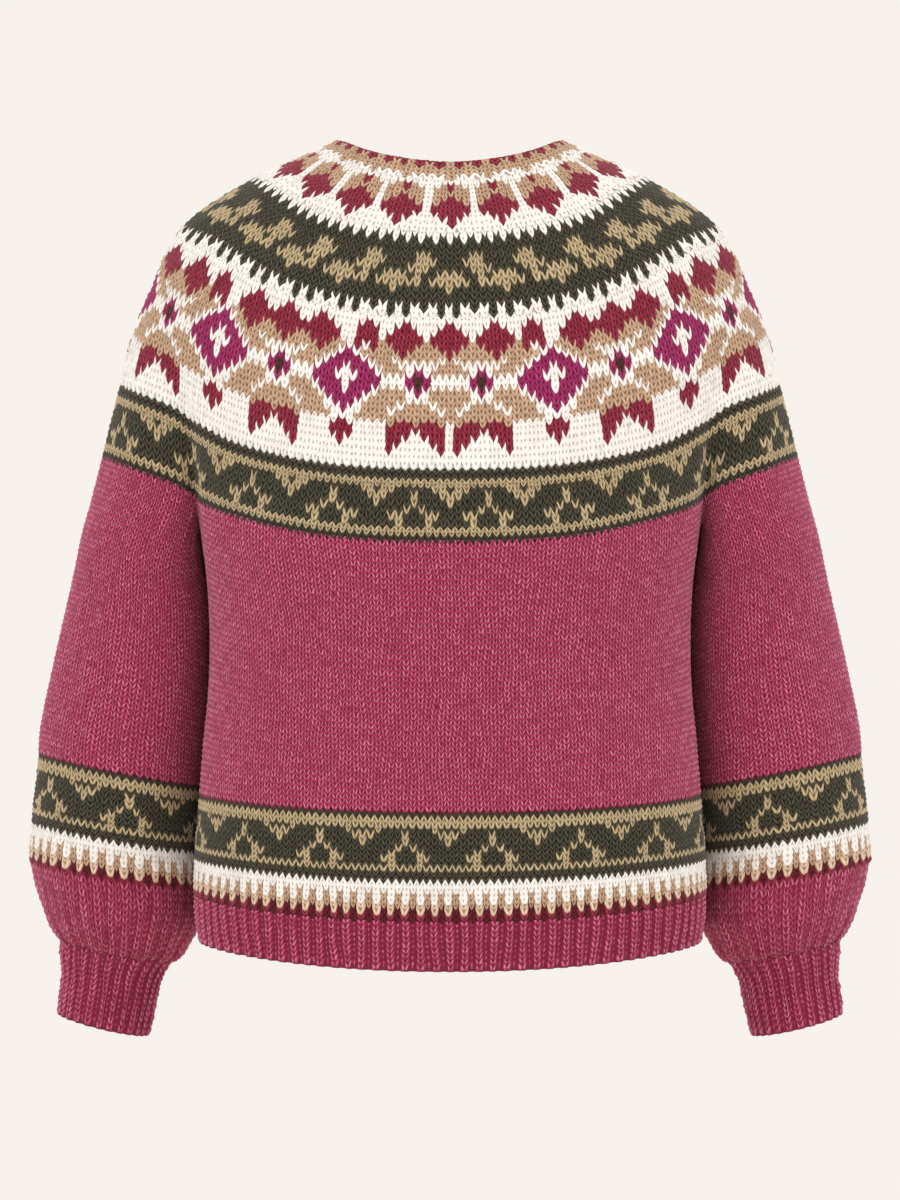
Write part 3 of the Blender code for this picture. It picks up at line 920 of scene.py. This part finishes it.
    def _line_inside(self, strip: Strip, inner: np.ndarray, index: np.ndarray) -> None:
        """Adds the inside and the two rims that join it to the outside.

        Args:
            strip: what is knitted.
            inner: the points of the inside.
            index: the numbers of the outside's points, (rows, columns).
        """
        rows, count = inner.shape[:2]
        start = self.total
        self.points.append(inner.reshape(-1, 3))
        self.weave.append(np.tile(self.LINING_WEAVE, (rows * count, 1)))
        self.total += rows * count
        grid = start + np.arange(rows * count).reshape(rows, count)
        right = np.roll(grid, -1, 1)
        quads = np.stack([grid[:-1], grid[1:], right[1:], right[:-1]], -1)
        r, c = np.meshgrid(np.arange(rows - 1), np.arange(count), indexing="ij")
        self.faces.append(quads.reshape(-1, 4))
        x = np.stack([c, c, c + 1, c + 1], -1) / count
        y = np.stack([r, r + 1, r + 1, r], -1) / (rows - 1)
        self.places.append(np.stack([x, -1 - y], -1).reshape(-1, 2))
        self._value(strip.yarns.ravel(), np.full(strip.yarns.size, self.LINING_CHANCE))
        for end, turned in ((0, True), (-1, False)):
            edge, lining = index[end], grid[end]
            wrapped = np.append(edge, edge[0]).reshape(-1)
            outer = np.stack([wrapped[4 * np.arange(count) + k] for k in range(5)], 1)
            beyond = np.roll(lining, -1)
            ngon = np.concatenate([outer, beyond[:, None], lining[:, None]], 1)
            at = np.concatenate([np.arange(5) / 4, [1, 0]])[None, :] + np.arange(count)[:, None]
            high = np.array([0.0] * 5 + [1, 1])[None, :] + 0 * at
            place = np.stack([at / count, -3 - high], -1)
            if turned:
                ngon, place = ngon[:, ::-1], place[:, ::-1]
            self.faces.append(ngon)
            self.places.append(place.reshape(-1, 2))
            usual = np.bincount(strip.yarns[end]).argmax()
            self._value(np.full(count, usual), np.full(count, self.LINING_CHANCE))

    def _lay(self, girth: float, r: np.ndarray, c: np.ndarray, height: float) -> None:
        """Lays the faces of a strip's outside out flat, in several lengths above each other.

        Args:
            girth: how far it is round the strip.
            r: each face's row.
            c: its column.
            height: how tall the strip is.
        """
        columns = c.shape[1]
        length = columns // self.cuts
        which = np.minimum(c // length, self.cuts - 1)
        local = c - which * length
        x = np.stack([local, local + 1, local + 1, local], -1) / columns * girth
        y = np.stack([r, r, r + 1, r + 1], -1) / len(r) * height
        y = y + (which * (height + self.APART))[..., None] + self.shelf
        self.shelf += self.cuts * (height + self.APART)
        self.places.append(np.stack([x, y], -1).reshape(-1, 2))

    def dressed(self, wool: bpy.types.Material, node: str, slot: str, flat: tuple[float, float],
                area: float, above: list[str], held: str = "hung") -> bpy.types.Object:
        """Makes the piece, and hides the solid that it replaces.

        Args:
            wool: what it is knitted from.
            node: the solid that it replaces.
            slot: the slot of its finish; not used.
            flat: its widest girth and its longest length, in metres; not used.
            area: its flat area in square metres; not used.
            above: what it hangs from; not used.
            held: how it is held; not used.

        Returns:
            The piece.
        """
        piece = self._build()
        piece.data.materials.append(wool)
        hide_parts(node)
        return piece

    def _build(self) -> bpy.types.Object:
        """Makes the mesh.

        Returns:
            An object that rides the sweater.
        """
        points = np.concatenate(self.points) * MM
        mesh = bpy.data.meshes.new(self.name)
        mesh.vertices.add(len(points))
        mesh.vertices.foreach_set("co", points.astype(np.float32).ravel())
        sizes = np.concatenate([np.full(len(f), f.shape[1]) for f in self.faces])
        corners = np.concatenate([f.ravel() for f in self.faces])
        mesh.loops.add(len(corners))
        mesh.loops.foreach_set("vertex_index", corners.astype(np.int32))
        mesh.polygons.add(len(sizes))
        mesh.polygons.foreach_set("loop_start", (np.cumsum(sizes) - sizes).astype(np.int32))
        mesh.update(calc_edges=True)
        mesh.validate()
        mesh.polygons.foreach_set("use_smooth", np.ones(len(mesh.polygons), bool))
        self._values(mesh)
        piece = bpy.data.objects.new(self.name, mesh)
        bpy.context.scene.collection.objects.link(piece)
        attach(piece, "root")
        return piece

    def _values(self, mesh: bpy.types.Mesh) -> None:
        """Writes the yarns, the weave and the flat layout on the mesh.

        Args:
            mesh: the piece's mesh.
        """
        values = np.concatenate(self.face_values)
        yarn = values[:, 0].astype(int)
        shades = [YARNS[shade] for shade in ORDER]
        facts = np.array([(y.fill, y.fleck) for y in shades])[yarn]
        for name, kind, vectors in (
            ("yarn", "FACE", np.array([linear(y.strand) for y in shades])[yarn]),
            # gap: the painted shade between stitches, yarn by yarn
            ("gap", "FACE", np.array([linear(y.gap) for y in shades])[yarn]),
            ("stitch", "FACE", np.column_stack([values[:, 1], facts])),
            ("weave", "POINT", np.concatenate(self.weave)),
        ):
            layer = mesh.attributes.new(name, "FLOAT_VECTOR", kind)
            layer.data.foreach_set("vector", vectors.astype(np.float32).ravel())
        places = np.concatenate(self.places)
        flat = np.empty_like(places)
        outside = places[:, 1] >= 0
        flat[outside] = places[outside] / places[outside].max(0) * self.FLAT_SIZE + self.FLAT_START
        inside = places[:, 1] <= -1
        flat[inside, 0] = places[inside, 0] * self.FLAT_SIZE[0] + self.FLAT_START[0]
        flat[inside, 1] = -places[inside, 1] * self.FLAT_LINING + self.FLAT_FOOT
        mesh.uv_layers.new(name="OFBake")
        mesh.uv_layers["OFBake"].uv.foreach_set("vector", flat.astype(np.float32).ravel())


# --------------------------------------------------------------------------------------- materials


class Socket:
    """An output of a shader node, on which arithmetic makes Math nodes."""

    def __init__(self, graph: "Graph", output: bpy.types.NodeSocket) -> None:
        """Wraps one output."""
        self.graph, self.output = graph, output

    def _with(self, operation: str, first: "Socket | float", second: "Socket | float") -> "Socket":
        """A Math node on two values."""
        return self.graph.node("ShaderNodeMath", {"operation": operation}, {0: first, 1: second})

    def __add__(self, other: "Socket | float") -> "Socket":
        """self + other."""
        return self._with("ADD", self, other)

    def __radd__(self, other: float) -> "Socket":
        """other + self."""
        return self._with("ADD", other, self)

    def __sub__(self, other: "Socket | float") -> "Socket":
        """self - other."""
        return self._with("SUBTRACT", self, other)

    def __rsub__(self, other: float) -> "Socket":
        """other - self."""
        return self._with("SUBTRACT", other, self)

    def __mul__(self, other: "Socket | float") -> "Socket":
        """self * other."""
        return self._with("MULTIPLY", self, other)

    def __rmul__(self, other: float) -> "Socket":
        """other * self."""
        return self._with("MULTIPLY", other, self)


class Graph:
    """The nodes of one material."""

    def __init__(self, material: bpy.types.Material) -> None:
        """Starts from a material's own nodes.

        Args:
            material: the material.
        """
        material.use_nodes = True
        self.tree = material.node_tree
        self.shader = self.tree.nodes["Principled BSDF"]

    def make(self, kind: str, settings: dict, values: dict) -> bpy.types.Node:
        """A node of any type.

        Args:
            kind: the node's type.
            settings: its settings, which are set first.
            values: what its inputs hold or are linked to.

        Returns:
            The node.
        """
        made = self.tree.nodes.new(kind)
        for name, setting in settings.items():
            setattr(made, name, setting)
        for name, value in values.items():
            self.feed(made.inputs[name], value)
        return made

    def feed(self, entry: bpy.types.NodeSocket, value: "Socket | float | tuple") -> None:
        """Links or sets one input.

        Args:
            entry: the input.
            value: what it is linked to or holds.
        """
        if isinstance(value, Socket):
            self.tree.links.new(value.output, entry)
        else:
            entry.default_value = value

    def node(self, kind: str, settings: dict, values: dict, output: int | str = 0) -> Socket:
        """One output of a new node, as make() makes it."""
        return Socket(self, self.make(kind, settings, values).outputs[output])

    def mix(self, share: Socket | float, first: Socket | tuple, second: Socket | tuple) -> Socket:
        """A mix of two colours."""
        return self.node("ShaderNodeMix", {"data_type": "RGBA"}, {0: share, 6: first, 7: second}, 2)

    def ramp(self, value: Socket, low: float | Socket, high: float | Socket) -> Socket:
        """0 below low and 1 above high, with a soft step between."""
        return self.node("ShaderNodeMapRange", {"interpolation_type": "SMOOTHSTEP"},
                         {"Value": value, "From Min": low, "From Max": high})

    def attribute(self, name: str) -> tuple[Socket, Socket, Socket, Socket]:
        """A value that is kept on the mesh.

        Args:
            name: the attribute's name.

        Returns:
            It as a vector, and its three parts.
        """
        vector = self.node("ShaderNodeAttribute", {"attribute_name": name}, {}, "Vector")
        parts = self.make("ShaderNodeSeparateXYZ", {}, {0: vector})
        return vector, *(Socket(self, parts.outputs[i]) for i in range(3))

    def noise(self, place: Socket, scale: float, detail: float = 2.0) -> Socket:
        """Cloudy values about a half, this many to a metre."""
        return self.node("ShaderNodeTexNoise", {}, {"Vector": place, "Scale": scale, "Detail": detail})


@dataclass(frozen=True)
class WoolFinish:
    """Knitted wool: its colours lie on the mesh, stitch by stitch, with painted shade between and beside
    the strands and painted highlights on their crests.
    """

    name: str = "wool"
    roughness: float = 0.86
    sheen: float = 0.12
    sheen_roughness: float = 0.6
    specular: float = 0.15
    bump: float = 0.5
    bump_deep: float = 0.0009
    fuzz_scale: float = 900.0
    fine_scale: float = 2600.0
    spread: float = 0.14  # how much stitches of one yarn differ in brightness
    fleck: tuple[int, int, int] = (224, 138, 168)  # the pale hairs of the raspberry yarn

    def build(self) -> bpy.types.Material:
        """Makes the material.

        Returns:
            The material.
        """
        material = bpy.data.materials.new(self.name)
        g = Graph(material)
        place = g.node("ShaderNodeTexCoord", {}, {}, "Object")
        yarn, *_ = g.attribute("yarn")
        # The gap colour is painted shade between stitches.
        gap, *_ = g.attribute("gap")
        _, chance, fill, fleck = g.attribute("stitch")
        _, across, along, _ = g.attribute("weave")
        fuzz = g.noise(place, self.fuzz_scale, 3.0)
        fine = g.noise(place, self.fine_scale)
        # Fuller yarns cover more of the gap beside them, and fuzz frays the strand's edge. The gap's darker
        # colour is painted shade in the hollows between stitches.
        strand = along * (1.0 - fill * 0.4) + across * fill * 0.8 - (1.0 - across) * fleck * 0.25
        low = 0.5 - fill * 0.45
        cover = g.ramp(strand + (fuzz - 0.5) * 0.4, low, low + 0.34)
        # Painted shade darkens the strand to its sides and a painted highlight lightens its crest.
        bright = 1.0 - self.spread / 2 + chance * self.spread
        tinted = g.node("ShaderNodeVectorMath", {"operation": "SCALE"}, {0: yarn, "Scale": bright})
        shade_to_highlight = g.ramp(along * 0.5 + across * 0.5 + (fine - 0.5) * 0.5, 0.1, 0.95)
        shaded = g.mix(0.7 - fill * 0.55, tinted, gap)
        crest_highlight_gain = 2.1 - fill * 1.05 - fleck * 0.5
        # The crest's painted highlight.
        crest = g.node("ShaderNodeVectorMath", {"operation": "SCALE"}, {0: tinted, "Scale": crest_highlight_gain})
        colour = g.mix(shade_to_highlight, shaded, crest)
        # Pale hairs of a flecked yarn show on the crests: the yarn's own heather, laid where the light
        # catches as a painted highlight.
        heather_and_highlight = along * across + (fuzz - 0.5) * 1.5 + (chance - 0.5) * 0.3
        colour = g.mix(g.ramp(heather_and_highlight, 0.35, 0.85) * fleck * 0.85, colour, (*linear(self.fleck), 1.0))
        # Painted shade fills what the strand leaves uncovered.
        colour = g.mix(cover, gap, colour)
        g.feed(g.shader.inputs["Base Color"], colour)
        g.feed(g.shader.inputs["Roughness"], self.roughness + (fine - 0.5) * 0.2)
        for entry, value in (("Sheen Weight", self.sheen), ("Sheen Roughness", self.sheen_roughness),
                             ("Specular IOR Level", self.specular)):
            g.shader.inputs[entry].default_value = value
        height = fuzz * 0.6 + fine * 0.4
        bump = g.node("ShaderNodeBump", {}, {"Strength": self.bump, "Distance": self.bump_deep,
                                             "Height": height}, "Normal")
        g.feed(g.shader.inputs["Normal"], bump)
        return material


# ------------------------------------------------------------------------------------------ pieces


def band_ribs(rows: list[Row]) -> np.ndarray:
    """How far every second stitch of the band's rows stands out: the last ones turn into ribs."""
    return np.concatenate([np.zeros(len(rows) - len(BAND_RIBS)), BAND_RIBS])


def raspberry(rows: int, count: int) -> np.ndarray:
    """The yarns of plain rows of this many stitches."""
    return np.full((rows, count), LETTERS["P"])


@dataclass
class Yoke:
    """The patterned round yoke, knitted in five strips that widen from the neck down."""

    garment: Garment
    wool: bpy.types.Material
    counts: tuple[int, ...] = (80, 120, 168, 196, 232)  # the stitches of each strip
    neck_level: float = 161.0
    tuck: float = 0.5
    overlap: float = 0.5  # of a row, by which a strip starts above the last one's foot
    squeeze: float = 0.05
    seed: int = 11

    def build(self) -> list[bpy.types.Object]:
        """Knits the yoke and the band at its foot.

        Returns:
            Both pieces.
        """
        upper, band = Knitting("yoke_knit", 2), Knitting("yoke_band", 4)
        tube = self.garment.yoke
        last = self.neck_level
        charts = (NECK_ROWS, CROWN_ROWS, SCROLL_ROWS, flowers_and_crowns(), YOKE_TEETH)
        for number, (count, rows) in enumerate(zip(self.counts, charts)):
            levels = np.array([last] + [row.level for row in rows])
            last = levels[-1]
            lines = tube.rows_at(levels)
            foot = number == len(charts) - 1
            if number:
                lines[0] -= (lines[1] - lines[0]) * self.overlap
            if foot:
                lines[-1] = len(tube.rings) - 1
            yarns = np.array([row.over(count) for row in rows])
            flat = np.zeros(len(rows))
            (band if foot else upper).add(Strip(
                tube, count, lines, yarns, flat, flat, self.squeeze, self.tuck if number else 0.0,
                self.seed + number, flat_foot=False))
        return [upper.dressed(self.wool, "yoke", "yoke_wool", (1.269, 0.264), 0.2442, []),
                band.dressed(self.wool, "yoke", "yoke_wool", (1.370, 0.060), 0.0671, ["yoke_knit"])]


@dataclass
class Body:
    """The body tube, the patterned band above the hem and the hem's ribbing."""

    garment: Garment
    wool: bpy.types.Material
    count: int = 192
    plain_rows: int = 51
    even_steps: int = 150  # of the plain rows' tube
    tuck: float = 0.8
    overlap: float = 0.35
    band_level: float = 814.5
    rib_levels: tuple[float, ...] = (929, 934.3, 939.7, 945, 950.4, 955.8, 961.2, 966.6, 973.5)
    seed: int = 21

    def build(self) -> list[bpy.types.Object]:
        """Knits the three pieces.

        Returns:
            The plain body, the band and the hem.
        """
        tube, wool, count = self.garment.body, self.wool, self.count
        foot = float(tube.rows_at(np.array([self.band_level]))[0])
        lines = np.linspace(0, self.even_steps, self.plain_rows + 1)
        flat = np.zeros(self.plain_rows)
        body = Knitting("body_knit", 2)
        body.add(Strip(tube.evened(0.0, foot, self.even_steps), count, lines,
                       raspberry(self.plain_rows, count), flat, flat, tucked=self.tuck, seed=self.seed,
                       flat_foot=False))

        rows = band_rows()
        band = Knitting("body_band", 4)
        band.add(Strip(tube, count, self._lines([self.band_level] + [row.level for row in rows]),
                       np.array([row.over(count) for row in rows]), np.zeros(len(rows)), band_ribs(rows),
                       tucked=self.tuck, seed=self.seed + 1, flat_top=False, flat_foot=False))

        lines = self._lines([BAND_LEVELS[-1], *self.rib_levels])
        lines[-1] = len(tube.rings) - 1
        ribs = np.ones(len(self.rib_levels))
        hem = Knitting("hem_knit", 5)
        hem.add(Strip(tube, count, lines, raspberry(len(ribs), count), ribs, ribs, tucked=self.tuck,
                      seed=self.seed + 2, flat_top=False))
        return [body.dressed(wool, "body", "body_wool", (1.129, 0.226), 0.2031, ["yoke_band"]),
                band.dressed(wool, "body", "body_wool", (1.024, 0.078), 0.0777, ["body_knit"]),
                hem.dressed(wool, "hem_rib", "rib_wool", (1.022, 0.035), 0.0349, ["body_band"])]

    def _lines(self, levels: list[float]) -> np.ndarray:
        """The rows' tips down the tube, from a little under the piece above.

        Args:
            levels: the level of each.

        Returns:
            Places down the tube.
        """
        lines = self.garment.body.rows_at(np.array(levels))
        lines[0] -= (lines[1] - lines[0]) * self.overlap
        return lines


class Side(Enum):
    """The two sides of the sweater, as its wearer names them."""

    LEFT = "left"
    RIGHT = "right"


@dataclass
class Sleeve:
    """A balloon sleeve, with its patterned band, its gathers and its ribbed cuff."""

    garment: Garment
    wool: bpy.types.Material
    side: Side
    count: int = 72
    cuff_count: int = 52
    even_steps: int = 140  # of the plain rows' tube
    row_tall: float = 4.0
    band_level: float = 774.5
    band_drop: float = -40.0  # from the level of the body's band
    rib_rows: int = 12
    purl_share: float = 0.8
    cuff_rows: int = 14
    facing_turn: float = 0.11  # where the sleeve faces the eye
    tuck: float = 0.8
    overlap: float = 0.35
    # The gathers above the cuff: (turn, drift, width, top, height)
    gathers: tuple[tuple[float, ...], ...] = (
        (0.03, 0.01, 0.018, -578, 2.0), (0.09, 0.0, 0.015, -585, 1.6), (0.15, -0.01, 0.02, -572, 2.3),
        (0.22, 0.0, 0.016, -583, 1.7), (0.28, 0.01, 0.019, -575, 2.1), (0.36, 0.0, 0.02, -580, 2.2),
        (0.43, -0.01, 0.017, -574, 1.8), (0.51, 0.0, 0.02, -582, 2.2), (0.58, 0.01, 0.018, -576, 2.0),
        (0.66, 0.0, 0.017, -584, 1.7), (0.74, -0.01, 0.021, -573, 2.3), (0.82, 0.0, 0.018, -581, 1.8),
        (0.90, 0.01, 0.02, -577, 2.1), (0.965, 0.0, 0.015, -584, 1.6),
    )
    gather_foot: float = -622.0
    gather_rise: float = 1.25
    cuff_tuck: float = 1.8
    cuff_start: float = 0.3  # how ribbed the cuff's first row is, and how much more each next one
    cuff_step: float = 0.25
    fade_start: float = 0.1  # the same of the rows above the cuff, over all of them
    fade_more: float = 0.5
    # Long soft troughs of the hanging sleeve: (turn, drift, width, top, foot, height)
    troughs: tuple[tuple[float, ...], ...] = (
        (0.17, 0.08, 0.03, -280, -450, -1.6), (0.31, -0.03, 0.04, -330, -520, 1.2),
        (0.5, 0.04, 0.035, -300, -470, -1.4), (0.66, -0.03, 0.03, -350, -500, -1.3),
        (0.93, 0.02, 0.03, -320, -480, -1.2),
    )
    trough_soft: float = 40.0
    left_seed: int = 31
    right_seed: int = 41

    def _crease(self, turn: float, drift: float, *rest: float) -> Crease:
        """A crease of the left sleeve, or its mirror image on the right one."""
        return Crease(turn, drift, *rest) if self.side is Side.LEFT else Crease(1 - turn, -drift, *rest)

    def _gathers(self) -> list[Swell]:
        """The puckers where the sleeve is drawn in to its cuff."""
        return [self._crease(turn, drift, width, top, self.gather_foot, height * self.gather_rise)
                for turn, drift, width, top, height in self.gathers]

    def _swells(self) -> list[Swell]:
        """What lifts the sleeve's cloth in wide soft forms.

        Returns:
            The gathers, the long troughs, the side that leans to the body and the puff above the cuff.
        """
        troughs = [self._crease(*trough, self.trough_soft) for trough in self.troughs]
        inward = 1.0 if self.side is Side.LEFT else -1.0
        lean = Bulge(towards=inward, middle=-342, reach=42, height=5.0)
        puff = Puff(out=254.0, line=-611.0, slope=0.21, above=7.0, reach=8.0, height=2.4)
        return self._gathers() + troughs + [lean, puff]

    def _fading(self) -> np.ndarray:
        """How deeply the rows above the cuff are ribbed: faintly at first, then more."""
        return self.fade_start + self.fade_more * np.linspace(0, 1, self.rib_rows) ** 2

    def build(self) -> list[bpy.types.Object]:
        """Knits the sleeve and its cuff.

        Returns:
            Both pieces.
        """
        side = self.side.value
        tube, cuff, facing, seed = self.garment.sleeve, self.garment.cuff, self.facing_turn, self.left_seed
        if self.side is Side.RIGHT:
            tube, cuff, facing, seed = tube.mirrored(), cuff.mirrored(), 1 - facing, self.right_seed
        rows = band_rows()
        levels = [self.band_level] + [row.level + self.band_drop for row in rows]
        lines = tube.rows_at(np.array(levels), facing)
        upper = tube.evened(0.0, float(lines[0]), self.even_steps)
        long = float(np.linalg.norm(np.diff(upper.rings, axis=0), axis=-1).sum(0).mean())
        plain = round(long / self.row_tall)
        flat = np.zeros(plain)
        knitting = Knitting(f"sleeve_{side}_knit", 1)
        knitting.swells = self._swells()
        knitting.add(Strip(upper, self.count, np.linspace(0, self.even_steps, plain + 1),
                           raspberry(plain, self.count), flat, flat, tucked=self.tuck, seed=seed,
                           flat_foot=False))
        lines[0] -= (lines[1] - lines[0]) * self.overlap
        lower = np.linspace(lines[-1], len(tube.rings) - 1, self.rib_rows + 1)[1:]
        colours = np.concatenate([np.array([row.over(self.count) for row in rows]),
                                  raspberry(self.rib_rows, self.count)])
        knitting.add(Strip(tube, self.count, np.concatenate([lines, lower]), colours,
                           np.concatenate([np.zeros(len(rows)), self._fading() * self.purl_share]),
                           np.concatenate([band_ribs(rows), self._fading()]), tucked=self.tuck,
                           seed=seed + 1, flat_top=False, flat_foot=False))

        lines = np.linspace(0, len(cuff.rings) - 1, self.cuff_rows + 1)
        ribs = np.clip(self.cuff_start + self.cuff_step * np.arange(self.cuff_rows), 0, 1)
        ribbing = Knitting(f"cuff_{side}_knit", 2)
        ribbing.swells = self._gathers()
        ribbing.add(Strip(cuff, self.cuff_count, lines, raspberry(self.cuff_rows, self.cuff_count), ribs,
                          ribs, tucked=self.cuff_tuck, seed=seed + 2, flat_top=False))
        return [knitting.dressed(self.wool, f"sleeve_{side}", "sleeve_wool", (0.434, 0.384), 0.1397,
                                 ["yoke_band"], held="gathered"),
                ribbing.dressed(self.wool, f"cuff_{side}", "rib_wool", (0.280, 0.065), 0.0148,
                                [knitting.name])]


# ------------------------------------------------------------------------------------------- stage


@dataclass
class Studio:
    """The camera, the soft lights, the pale floor and the cream surroundings."""

    background: tuple[int, int, int] = (247, 242, 235)
    lens_sensor: float = 24.0
    frame_high: float = 900.0
    floor_up: float = -0.92
    floor_wide: float = 0.6
    floor_steps: int = 96
    floor_colour: tuple[int, int, int] = (236, 230, 222)
    floor_roughness: float = 0.9
    surround: float = 1.0
    lights: tuple[tuple, ...] = (  # name, place, size and power
        ("key", (-1.4, -2.4, 1.2), 1.6, 16.0),
        ("fill", (2.0, -2.0, 0.5), 1.8, 10.0),
        ("back", (0.2, 2.2, 1.4), 1.6, 12.0),
    )

    def build(self) -> None:
        """Sets up everything round the sweater."""
        scene = bpy.context.scene
        world = bpy.data.worlds.new("surroundings")
        world.use_nodes = True
        node = world.node_tree.nodes["Background"]
        node.inputs["Color"].default_value = (*linear(self.background), 1.0)
        node.inputs["Strength"].default_value = self.surround
        scene.world = world
        scene.view_settings.view_transform = "Standard"
        for name, place, size, power in self.lights:
            data = bpy.data.lights.new(name, "AREA")
            data.size, data.energy = size, power
            lamp = bpy.data.objects.new(name, data)
            lamp.location = place
            aim = Vector((0, 0, EYE_UP * MM)) - lamp.location
            lamp.rotation_euler = aim.to_track_quat("-Z", "Y").to_euler()
            scene.collection.objects.link(lamp)
        self._camera(scene)
        self._floor(scene)

    def _camera(self, scene: bpy.types.Scene) -> None:
        """The camera, level with the middle of the picture.

        Args:
            scene: where it goes.
        """
        data = bpy.data.cameras.new("eye")
        data.sensor_width = self.lens_sensor
        data.lens = self.lens_sensor * EYE_AWAY / self.frame_high
        eye = bpy.data.objects.new("eye", data)
        eye.location = (0, -EYE_AWAY * MM, EYE_UP * MM)
        eye.rotation_euler = (math.pi / 2, 0, 0)
        scene.collection.objects.link(eye)
        scene.camera = eye

    def _floor(self, scene: bpy.types.Scene) -> None:
        """A round pale floor under the sweater.

        Args:
            scene: where it goes.
        """
        angles = np.arange(self.floor_steps) * 2 * np.pi / self.floor_steps
        points = [(self.floor_wide * math.cos(a), self.floor_wide * math.sin(a), self.floor_up)
                  for a in angles]
        mesh = bpy.data.meshes.new("floor")
        mesh.from_pydata(points, [], [list(range(self.floor_steps))])
        floor = bpy.data.objects.new("floor", mesh)
        paint = bpy.data.materials.new("floor_paint")
        g = Graph(paint)
        g.shader.inputs["Base Color"].default_value = (*linear(self.floor_colour), 1.0)
        g.shader.inputs["Roughness"].default_value = self.floor_roughness
        mesh.materials.append(paint)
        scene.collection.objects.link(floor)


def main() -> None:
    """Builds the sweater's pieces in order and reports each one."""
    logging.basicConfig(level=logging.INFO, format="%(message)s")
    garment = Garment()
    wool = WoolFinish().build()
    pieces = Yoke(garment, wool).build()
    pieces += Body(garment, wool).build()
    for side in Side:
        pieces += Sleeve(garment, wool, side).build()
    for piece in pieces:
        LOG.info("%s: %d faces", piece.name, len(piece.data.polygons))
    Studio().build()
    bpy.context.view_layer.update()


if __name__ == "__main__":
    main()
